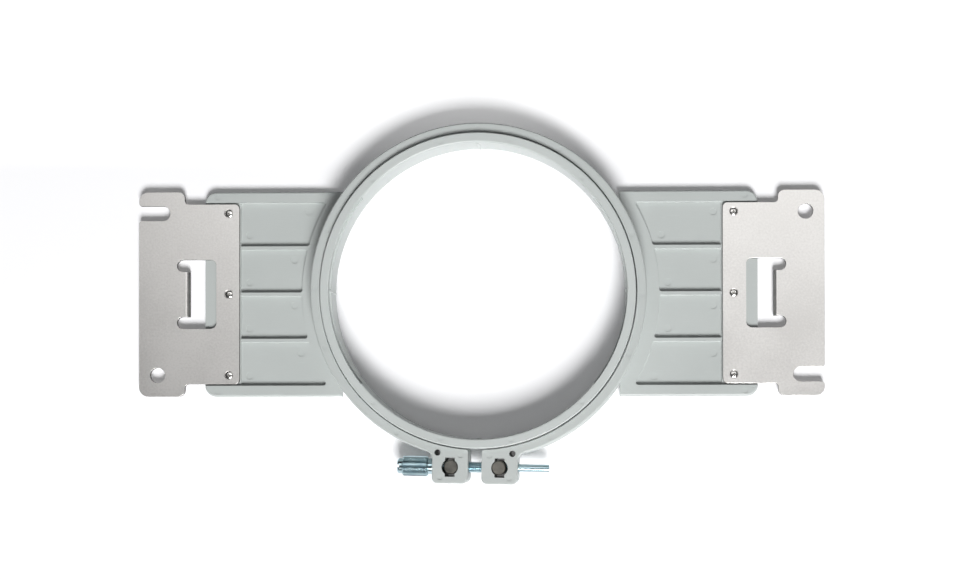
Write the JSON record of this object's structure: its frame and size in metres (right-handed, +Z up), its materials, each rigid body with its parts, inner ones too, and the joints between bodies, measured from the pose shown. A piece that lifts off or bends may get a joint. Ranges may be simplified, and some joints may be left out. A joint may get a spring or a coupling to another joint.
{
  "type": "machine embroidery hoop",
  "caption": "Round tubular embroidery hoop for a multi-needle machine: split outer ring with thumbscrew clamp, loose inner ring, and flat arms with slotted metal mount plates.",
  "frame": {"origin": "on the axis of both rings, on the plane that the hoop lies on", "axes": "+Z up, out of the side with the metal plates' mounting faces; +X from one mount plate to the other; the clamp is on the -Y side"},
  "size_m": [0.355, 0.1845, 0.0205],
  "materials": {
    "frame_plastic": "satin, moulded",
    "ring_plastic": "satin, moulded",
    "plate_metal": "satin, blasted and nickel plated",
    "screw_steel": "bright zinc",
    "thumbscrew_zinc": "bright zinc plate",
    "barrel_steel": "dull, bright at the chamfers",
    "insert_brass": "plain"
  },
  "bodies": {
    "frame": {"outer_frame": "frame_plastic", "left_mount_plate": "plate_metal", "right_mount_plate": "plate_metal", "left_plate_screw_back": "screw_steel", "left_plate_screw_middle": "screw_steel", "left_plate_screw_front": "screw_steel", "right_plate_screw_back": "screw_steel", "right_plate_screw_middle": "screw_steel", "right_plate_screw_front": "screw_steel", "left_plate_insert_back": "insert_brass", "left_plate_insert_middle": "insert_brass", "left_plate_insert_front": "insert_brass", "right_plate_insert_back": "insert_brass", "right_plate_insert_middle": "insert_brass", "right_plate_insert_front": "insert_brass", "clamp_barrel": "barrel_steel"},
    "inner_ring": {"inner_ring": "ring_plastic"},
    "thumbscrew": {"clamp_screw": "thumbscrew_zinc"},
    "nut": {"clamp_nut": "barrel_steel"}
  },
  "joints": [
    {"name": "inner_ring_slide", "type": "slide", "parent": "frame", "child": "inner_ring", "axis": [0, 0, 1], "range_m": [-0.003, 0.03]},
    {"name": "clamp_screw_turn", "type": "hinge", "parent": "frame", "child": "thumbscrew", "pos_m": [-0.0018, -0.08963, 0.0095], "axis": [-0.9998, 0.0201, 0], "range_deg": [0, 360]},
    {"name": "clamp_nut_travel", "type": "slide", "parent": "frame", "child": "nut", "axis": [0.9998, -0.0201, 0], "range_m": [0, 0.001]}
  ],
  "couplings": [
    {"joint": "clamp_nut_travel", "follows": "clamp_screw_turn", "m_per_rad": 0.000159}
  ]
}
